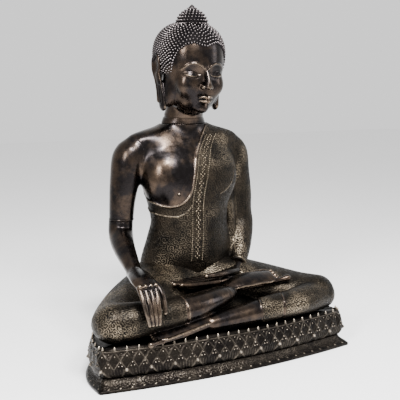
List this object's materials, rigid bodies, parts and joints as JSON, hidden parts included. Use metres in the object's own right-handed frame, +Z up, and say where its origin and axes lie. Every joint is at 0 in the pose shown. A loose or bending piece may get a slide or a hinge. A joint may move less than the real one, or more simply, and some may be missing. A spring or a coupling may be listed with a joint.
{
  "type": "seated buddha statue",
  "caption": "Seated bronze figure, one hand over the knee and one palm-up in the lap, on a two-tier lotus plinth with a round back; rests on the plinth's foot.",
  "frame": {"origin": "under the middle of the plinth, on the surface it stands on", "axes": "+Z up, the figure faces -Y, its left hand side is +X"},
  "size_m": [0.604, 0.31, 0.75],
  "materials": {
    "plinth_bronze": "dark patina, worn on the ornament",
    "robe_bronze": "dark patina, chased with fine scrollwork",
    "skin_bronze": "dark polished patina",
    "hair_bronze": "dark patina, worn on the curls",
    "steel": "plain zinc-plated"
  },
  "bodies": {
    "root": {"lower_plinth": "plinth_bronze", "upper_plinth": "plinth_bronze", "lap": "robe_bronze", "torso": "robe_bronze", "right_upper_arm": "skin_bronze", "right_forearm": "skin_bronze", "left_arm": "robe_bronze", "left_hand": "skin_bronze", "head": "skin_bronze", "ushnisha": "hair_bronze", "finial": "hair_bronze", "stud_left": "steel", "stud_right": "steel", "strap_left": "steel", "strap_right": "steel", "washer_left": "steel", "washer_right": "steel", "nut_left": "steel", "nut_right": "steel", "neck_dowel_left": "steel", "neck_dowel_right": "steel", "elbow_dowel": "steel"}
  },
  "joints": []
}
